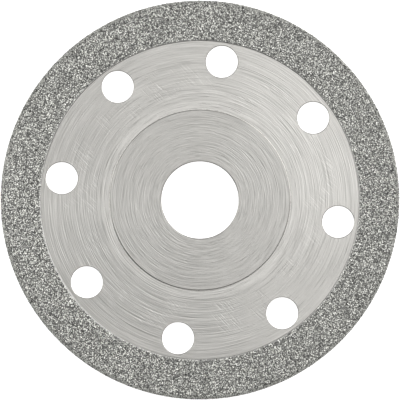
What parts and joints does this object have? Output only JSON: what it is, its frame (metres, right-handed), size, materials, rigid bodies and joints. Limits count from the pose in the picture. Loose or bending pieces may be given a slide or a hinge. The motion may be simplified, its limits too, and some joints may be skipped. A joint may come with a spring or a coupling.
{
  "type": "diamond blade",
  "caption": "Flat continuous-rim diamond cutting and grinding disc with a steel core, doubled hub, central arbor hole, a ring of round cooling holes and a brazed grit band.",
  "frame": {"origin": "centre of the arbor hole in the middle plane of the steel core", "axes": "+Z out of the front face along the arbor hole; +X through the centre of a cooling hole; the blade lies on its rear flange, 2 mm below the origin"},
  "size_m": [0.115, 0.115, 0.004],
  "materials": {
    "core_steel": "fine-turned steel with light cross scratches",
    "flange_steel": "fine-turned steel ring, satin",
    "silver_braze": "thin fillet of dulled silver braze",
    "nickel_bond": "dull undulating nickel braze",
    "diamond_grit": "coarse nickel-wetted crystals, sparkling facets"
  },
  "bodies": {
    "root": {"core_plate": "core_steel", "nickel_bond": "nickel_bond", "rim_diamond_grit": "diamond_grit", "front_diamond_grit": "diamond_grit", "rear_diamond_grit": "diamond_grit", "front_hub_flange": "flange_steel", "rear_hub_flange": "flange_steel", "front_flange_braze": "silver_braze", "rear_flange_braze": "silver_braze"}
  },
  "joints": []
}
